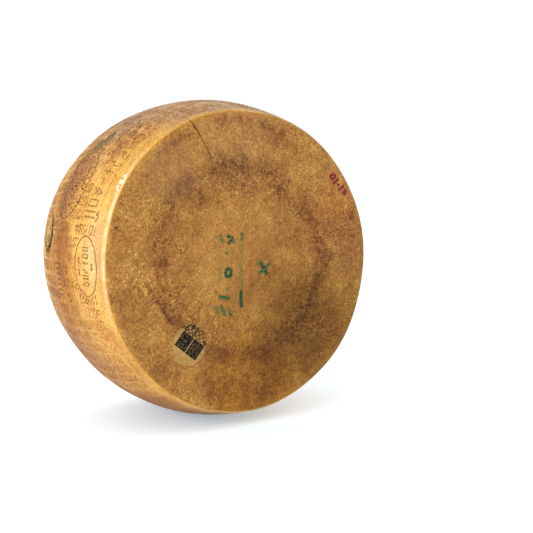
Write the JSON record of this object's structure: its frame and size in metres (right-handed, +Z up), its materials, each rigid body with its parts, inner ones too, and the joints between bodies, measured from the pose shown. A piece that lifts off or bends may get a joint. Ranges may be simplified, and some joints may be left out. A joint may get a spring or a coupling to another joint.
{
  "type": "hard cheese wheel",
  "caption": "Whole wheel of hard aged cheese with a bulging golden rind, standing on its rim, with a casein plate pressed into one flat face.",
  "frame": {"origin": "on the ground under the middle of the wheel, where its pressed flat spot rests", "axes": "+Z up; Y is the wheel's axis, and the marked face with the plate looks along -Y; X runs from side to side"},
  "size_m": [0.4496, 0.2366, 0.4503],
  "materials": {
    "rind": "oiled natural cheese rind, satin",
    "casein": "dried casein disc, satin, with dark print"
  },
  "bodies": {
    "root": {"cheese_wheel": "rind", "casein_plate": "casein"}
  },
  "joints": []
}
